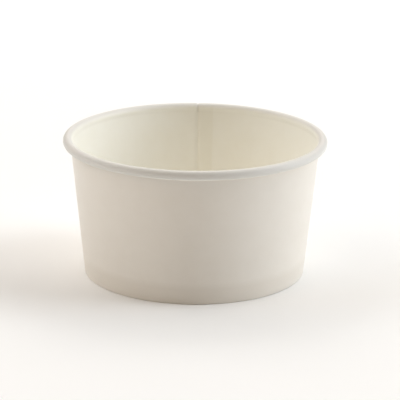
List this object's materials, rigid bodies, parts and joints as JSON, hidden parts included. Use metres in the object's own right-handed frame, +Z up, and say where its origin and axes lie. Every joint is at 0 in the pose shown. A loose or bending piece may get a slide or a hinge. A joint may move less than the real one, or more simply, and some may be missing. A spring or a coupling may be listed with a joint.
{
  "type": "paper sundae cup",
  "caption": "Plain round paper cup for ice cream, wide and low, with a tapered wall, lapped seam, rolled rim and raised floor held in a folded foot.",
  "frame": {"origin": "centre of the foot, on the plane that the cup stands on", "axes": "+Z up along the cup's axis; +Y towards the lapped side seam; +X to the right when the seam is at the back"},
  "size_m": [0.096, 0.096, 0.051],
  "materials": {
    "sidewall_board": "warm white coated cup board, smooth, with a soft sheen",
    "base_board": "warm white coated cup board, smooth, with a soft sheen"
  },
  "bodies": {
    "root": {"sidewall": "sidewall_board", "base_disc": "base_board"}
  },
  "joints": []
}
